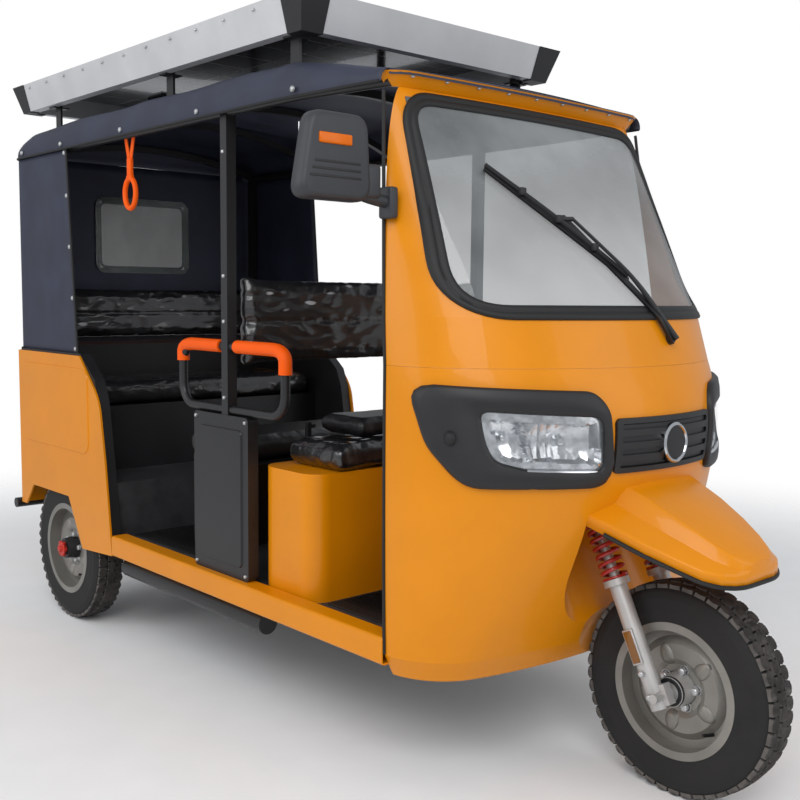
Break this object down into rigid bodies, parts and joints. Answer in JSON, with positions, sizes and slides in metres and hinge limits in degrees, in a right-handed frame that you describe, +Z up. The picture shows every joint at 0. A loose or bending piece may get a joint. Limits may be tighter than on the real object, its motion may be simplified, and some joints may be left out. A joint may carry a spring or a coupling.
{
  "type": "electric three-wheeled passenger vehicle",
  "caption": "Electric three-wheeler with an enclosed cab front, open-sided passenger space, facing benches, cloth canopy and a solar panel on the roof; wheels turn and the front fork steers.",
  "frame": {"origin": "centre of the bounding box at ground level", "axes": "+X forward, +Y to the vehicle's left, +Z up"},
  "size_m": [2.9999, 1.376, 1.9849],
  "materials": {
    "orange_paint": "gloss orange-yellow enamel",
    "black_paint": "satin black enamel",
    "grey_floor": "dark grey painted sheet",
    "black_plastic": "black moulded plastic",
    "grey_plastic": "dark grey moulded plastic",
    "orange_plastic": "orange moulded plastic",
    "seal_rubber": "black rubber",
    "tyre_rubber": "black tyre rubber",
    "wheel_silver": "silver wheel enamel",
    "cast_metal": "cast and turned metal",
    "dark_hub": "dark cast hub",
    "spring_red": "dark red enamel",
    "panel_frame": "anodised aluminium",
    "panel_glass": "dark blue solar cells under glass",
    "canopy_cloth": "coated dark navy tarpaulin",
    "seat_vinyl": "black vinyl",
    "clear_glass": "clear glass",
    "clear_sheet": "clear flexible sheet",
    "lamp_lens": "clear moulded lamp lens",
    "red_lens": "red lamp lens"
  },
  "bodies": {
    "vehicle": {"lower_cowl": "orange_paint", "upper_cowl": "orange_paint", "front_mudguard": "orange_paint", "rear_side_right": "orange_paint", "rear_side_left": "orange_paint", "sill_right": "orange_paint", "sill_left": "orange_paint", "tail_panel": "orange_paint", "driver_base": "orange_paint", "chassis": "black_paint", "leaf_springs": "black_paint", "roof_frame": "black_paint", "side_boards": "black_paint", "step_bars": "black_paint", "rear_bumper": "black_paint", "solar_brackets": "black_paint", "back_brackets": "black_paint", "rear_axle": "black_paint", "grab_rails": "black_paint", "mid_bench": "black_paint", "floor_pan": "grey_floor", "rear_deck": "grey_floor", "bench_base": "grey_floor", "wheel_well": "grey_floor", "headlamp_bezels": "black_plastic", "grille": "black_plastic", "dashboard": "black_plastic", "wiper": "black_plastic", "battery": "black_plastic", "panel_corners": "black_plastic", "mirror": "grey_plastic", "grips": "orange_plastic", "grab_strap": "orange_plastic", "screen_seal": "seal_rubber", "solar_frame": "panel_frame", "solar_panel": "panel_glass", "canopy_roof": "canopy_cloth", "canopy_rear": "canopy_cloth", "rear_cushion": "seat_vinyl", "rear_backrest": "seat_vinyl", "mid_cushion": "seat_vinyl", "mid_backrest": "seat_vinyl", "driver_cushion": "seat_vinyl", "windscreen": "clear_glass", "rear_window": "clear_sheet", "headlamps": "lamp_lens", "tail_lamps": "red_lens"},
    "steering": {"fork": "cast_metal", "fork_springs": "spring_red", "handlebar": "black_paint"},
    "front_wheel": {"tyre_front": "tyre_rubber", "rim_front": "wheel_silver", "hub_front": "cast_metal"},
    "rear_wheel_right": {"tyre_rear_right": "tyre_rubber", "rim_rear_right": "wheel_silver", "hub_rear_right": "dark_hub"},
    "rear_wheel_left": {"tyre_rear_left": "tyre_rubber", "rim_rear_left": "wheel_silver", "hub_rear_left": "dark_hub"},
    "seat_back": {"driver_back": "seat_vinyl"}
  },
  "joints": [
    {"name": "steering_turn", "type": "hinge", "parent": "vehicle", "child": "steering", "pos_m": [1.24, 0.121, 0.26], "axis": [-0.4384, 0, 0.8988], "range_deg": [-40, 40]},
    {"name": "front_wheel_spin", "type": "hinge", "parent": "steering", "child": "front_wheel", "pos_m": [1.24, 0.121, 0.26], "axis": [0, 1, 0], "continuous": true},
    {"name": "rear_wheel_right_spin", "type": "hinge", "parent": "vehicle", "child": "rear_wheel_right", "pos_m": [-1.04, -0.369, 0.26], "axis": [0, 1, 0], "continuous": true},
    {"name": "rear_wheel_left_spin", "type": "hinge", "parent": "vehicle", "child": "rear_wheel_left", "pos_m": [-1.04, 0.611, 0.26], "axis": [0, 1, 0], "continuous": true},
    {"name": "seat_back_fold", "type": "hinge", "parent": "vehicle", "child": "seat_back", "pos_m": [0.155, 0.121, 0.815], "axis": [0, -1, 0], "range_deg": [0, 90]}
  ]
}
